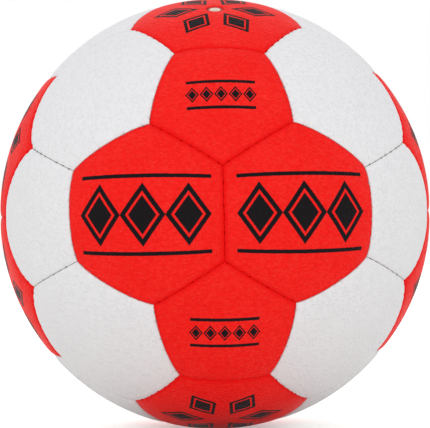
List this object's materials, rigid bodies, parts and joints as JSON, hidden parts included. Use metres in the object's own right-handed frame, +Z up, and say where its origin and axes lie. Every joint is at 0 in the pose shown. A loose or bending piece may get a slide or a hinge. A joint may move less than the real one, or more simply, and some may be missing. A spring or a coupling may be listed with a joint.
{
  "type": "handball",
  "caption": "Hand-stitched handball of red and white leather hexagons and pentagons over lined panels, a bladder and a needle valve.",
  "frame": {"origin": "centre of the ball", "axes": "+Z up and -Y to the front, through the middle of the seam between the two front hexagons; +X to the right as seen from the front. The three axes are the panels' twofold axes."},
  "size_m": [0.1742, 0.1742, 0.1742],
  "materials": {
    "red_leather": "satin",
    "white_leather": "satin",
    "lining_cloth": "matte",
    "waxed_thread": "satin",
    "bladder_rubber": "satin",
    "valve_rubber": "satin",
    "plug_rubber": "satin"
  },
  "bodies": {
    "ball": {"front_left_hexagon": "red_leather", "front_right_hexagon": "red_leather", "back_left_hexagon": "red_leather", "back_right_hexagon": "red_leather", "top_front_hexagon": "red_leather", "top_back_hexagon": "red_leather", "bottom_front_hexagon": "red_leather", "bottom_back_hexagon": "red_leather", "left_upper_hexagon": "red_leather", "left_lower_hexagon": "red_leather", "right_upper_hexagon": "red_leather", "right_lower_hexagon": "red_leather", "upper_front_left_hexagon": "white_leather", "upper_front_right_hexagon": "white_leather", "upper_back_left_hexagon": "white_leather", "upper_back_right_hexagon": "white_leather", "lower_front_left_hexagon": "white_leather", "lower_front_right_hexagon": "white_leather", "lower_back_left_hexagon": "white_leather", "lower_back_right_hexagon": "white_leather", "front_upper_pentagon": "red_leather", "front_lower_pentagon": "red_leather", "back_upper_pentagon": "red_leather", "back_lower_pentagon": "red_leather", "left_front_pentagon": "white_leather", "left_back_pentagon": "white_leather", "right_front_pentagon": "white_leather", "right_back_pentagon": "white_leather", "top_left_pentagon": "white_leather", "top_right_pentagon": "white_leather", "bottom_left_pentagon": "white_leather", "bottom_right_pentagon": "white_leather", "hexagon_linings": "lining_cloth", "pentagon_linings": "lining_cloth", "hexagon_seam_threads": "waxed_thread", "pentagon_seam_threads": "waxed_thread", "bladder": "bladder_rubber", "valve_patch": "lining_cloth", "valve_body": "valve_rubber"},
    "plug": {"valve_plug": "plug_rubber"}
  },
  "joints": [
    {"name": "valve_plug_pull", "type": "slide", "parent": "ball", "child": "plug", "axis": [0, -0.3568, 0.9342], "range_m": [0, 0.018]}
  ]
}
